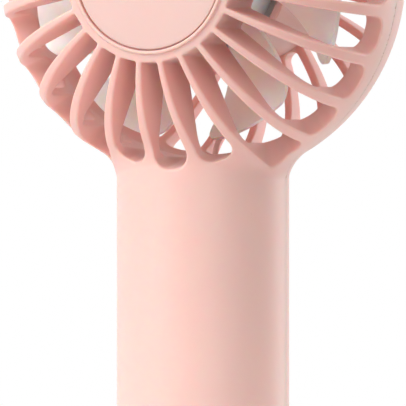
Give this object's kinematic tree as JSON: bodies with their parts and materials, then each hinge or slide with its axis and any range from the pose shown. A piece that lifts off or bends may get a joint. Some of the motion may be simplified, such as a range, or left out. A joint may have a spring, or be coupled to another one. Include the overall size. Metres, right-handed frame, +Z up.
{
  "type": "handheld electric fan",
  "caption": "Battery handheld fan: domed round head with radial grille fins over a bladed impeller, plain round handle.",
  "frame": {"origin": "centre of the foot ring's underside, under the handle", "axes": "+Z up along the handle, the fan blows towards -Y, +X to the right seen from the front"},
  "size_m": [0.09, 0.0636, 0.205],
  "materials": {
    "shell_plastic": "satin moulded pink plastic with a fine texture",
    "cap_plastic": "satin moulded pink plastic",
    "impeller_plastic": "pale lavender-pink translucent-looking plastic",
    "button_plastic": "satin pink plastic, slightly lighter than the shell",
    "steel": "bright steel",
    "laminations": "stacked electrical steel",
    "copper": "enamelled copper wire",
    "magnet": "bonded ferrite, dark grey",
    "frame_plastic": "plain white structural plastic",
    "circuit_board": "green solder mask over glass laminate",
    "chip_plastic": "black moulded epoxy",
    "led_lens": "milky clear plastic",
    "battery_wrap": "blue shrink wrap",
    "nickel": "nickel strip",
    "wire_cover": "red silicone wire cover",
    "foot_rubber": "soft pink rubber"
  },
  "bodies": {
    "housing": {"front_shell": "shell_plastic", "rear_shell": "shell_plastic", "front_cap": "cap_plastic", "rear_cap": "cap_plastic", "motor_base": "frame_plastic", "bearing_rear": "steel", "bearing_front": "steel", "stator_core": "laminations", "stator_windings": "copper", "motor_board": "circuit_board", "motor_screws": "steel", "motor_leads": "wire_cover", "battery_leads": "wire_cover", "battery_cell": "battery_wrap", "battery_cradle": "frame_plastic", "positive_tab": "nickel", "negative_tab": "nickel", "control_board": "circuit_board", "board_screws": "steel", "board_components": "chip_plastic", "indicator_leds": "led_lens", "light_guide": "led_lens", "tact_switch": "chip_plastic", "usb_c_socket": "steel", "base_cap": "shell_plastic", "foot_ring": "foot_rubber", "shell_screws": "steel"},
    "fan": {"impeller": "impeller_plastic", "motor_shaft": "steel", "shaft_clip": "steel", "rotor_cup": "steel", "magnet_ring": "magnet"},
    "button": {"power_button": "button_plastic", "switch_stem": "chip_plastic"}
  },
  "joints": [
    {"name": "impeller_spin", "type": "hinge", "parent": "housing", "child": "fan", "pos_m": [0, 0, 0.16], "axis": [0, 1, 0], "continuous": true},
    {"name": "power_button_press", "type": "slide", "parent": "housing", "child": "button", "axis": [0, 1, 0], "range_m": [0, 0.0004], "stiffness_N_per_m": 4000}
  ]
}
